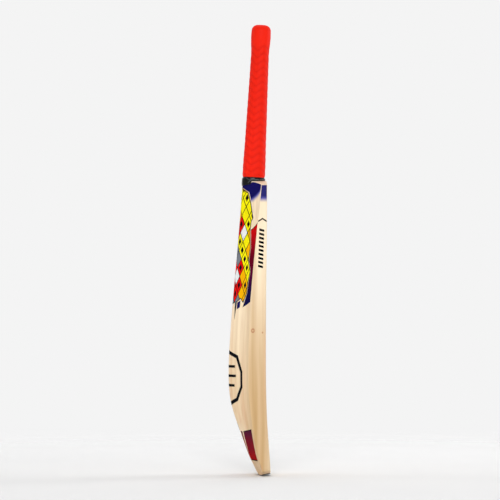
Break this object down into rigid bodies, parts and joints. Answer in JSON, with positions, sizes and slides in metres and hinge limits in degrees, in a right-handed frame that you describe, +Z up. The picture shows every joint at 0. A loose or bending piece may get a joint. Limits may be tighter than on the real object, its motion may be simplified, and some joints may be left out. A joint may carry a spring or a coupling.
{
  "type": "cricket bat",
  "caption": "Wooden cricket bat with a spined blade, spliced laminated cane handle, twine binding, ribbed rubber grip and vinyl decals.",
  "frame": {"origin": "middle of the flat underside of the toe guard", "axes": "+Z up the blade towards the handle, +Y towards the spine of the back, hitting face towards -Y"},
  "size_m": [0.1074, 0.0806, 0.8551],
  "materials": {
    "willow": "satin",
    "cane": "matte",
    "spring_rubber": "matte",
    "toe_rubber": "satin",
    "twine": "gloss",
    "grip_rubber": "satin",
    "vinyl_yellow": "gloss",
    "vinyl_red": "gloss",
    "vinyl_navy": "gloss",
    "vinyl_maroon": "gloss",
    "vinyl_black": "gloss"
  },
  "bodies": {
    "root": {"willow_blade": "willow", "toe_guard": "toe_rubber", "cane_slip_face_left": "cane", "cane_slip_face_middle": "cane", "cane_slip_face_right": "cane", "cane_slip_inner_face_left": "cane", "cane_slip_inner_face_middle": "cane", "cane_slip_inner_face_right": "cane", "cane_slip_inner_back_left": "cane", "cane_slip_inner_back_middle": "cane", "cane_slip_inner_back_right": "cane", "cane_slip_back_left": "cane", "cane_slip_back_middle": "cane", "cane_slip_back_right": "cane", "rubber_spring_face": "spring_rubber", "rubber_spring_middle": "spring_rubber", "rubber_spring_back": "spring_rubber", "twine_binding": "twine", "twine_whipping": "twine", "rubber_grip": "grip_rubber", "back_graphic": "vinyl_yellow", "toe_line": "vinyl_black", "back_emblem_ring": "vinyl_black", "back_emblem_bars": "vinyl_black", "back_panel_left": "vinyl_red", "shoulder_panel_left": "vinyl_navy", "back_strip_left": "vinyl_navy", "edge_panel_left": "vinyl_navy", "edge_chevron_left": "vinyl_black", "edge_bars_left": "vinyl_black", "toe_panel_left": "vinyl_maroon", "toe_stripe_left": "vinyl_maroon", "back_panel_right": "vinyl_red", "shoulder_panel_right": "vinyl_navy", "back_strip_right": "vinyl_navy", "edge_panel_right": "vinyl_navy", "edge_chevron_right": "vinyl_black", "edge_bars_right": "vinyl_black", "toe_panel_right": "vinyl_maroon", "toe_stripe_right": "vinyl_maroon"}
  },
  "joints": []
}
